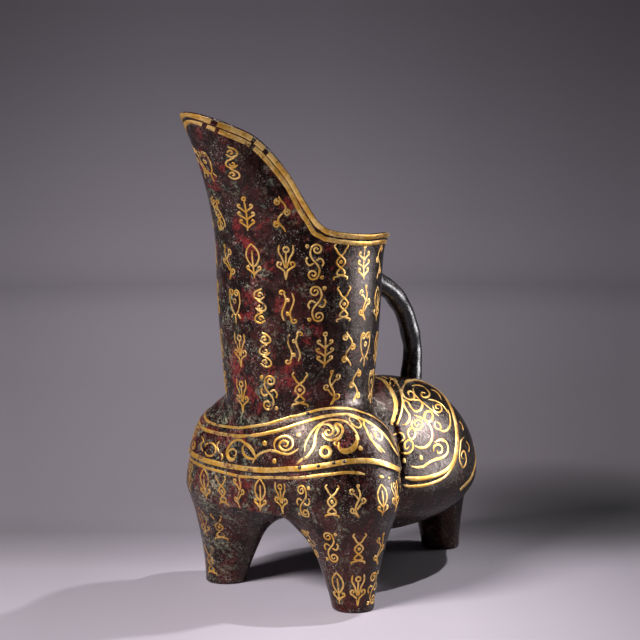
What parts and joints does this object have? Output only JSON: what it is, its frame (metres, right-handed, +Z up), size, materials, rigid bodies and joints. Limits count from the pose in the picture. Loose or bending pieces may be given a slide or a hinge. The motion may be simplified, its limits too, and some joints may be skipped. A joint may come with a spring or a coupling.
{
  "type": "bronze tripod pouring vessel",
  "caption": "Hollow tripod bronze pitcher with bulging lobes, a tall neck rising to a beaked spout, a rod handle behind and flat gold bands.",
  "frame": {"origin": "on the ground, under the middle of the vessel's box", "axes": "+Z up, +X from the spout towards the handle and the rear leg, +Y to the vessel's left front leg"},
  "size_m": [0.3254, 0.1858, 0.363],
  "materials": {
    "bronze": "patinated",
    "handle_bronze": "satin",
    "gold": "polished, worn"
  },
  "bodies": {
    "root": {"front_left_lobe": "bronze", "front_right_lobe": "bronze", "rear_lobe": "bronze", "neck_and_spout": "bronze", "handle": "handle_bronze", "rim_band_upper": "gold", "rim_band_lower": "gold", "belt_band_upper_left": "gold", "belt_band_under_left": "gold", "belt_band_lower_left": "gold", "belt_band_skirt_left": "gold", "saddle_band_inner_left": "gold", "saddle_band_outer_left": "gold", "panel_band_left": "gold", "panel_band_outer_left": "gold", "haunch_band_left": "gold", "belt_band_upper_right": "gold", "belt_band_under_right": "gold", "belt_band_lower_right": "gold", "belt_band_skirt_right": "gold", "saddle_band_inner_right": "gold", "saddle_band_outer_right": "gold", "panel_band_right": "gold", "panel_band_outer_right": "gold", "haunch_band_right": "gold"}
  },
  "joints": []
}
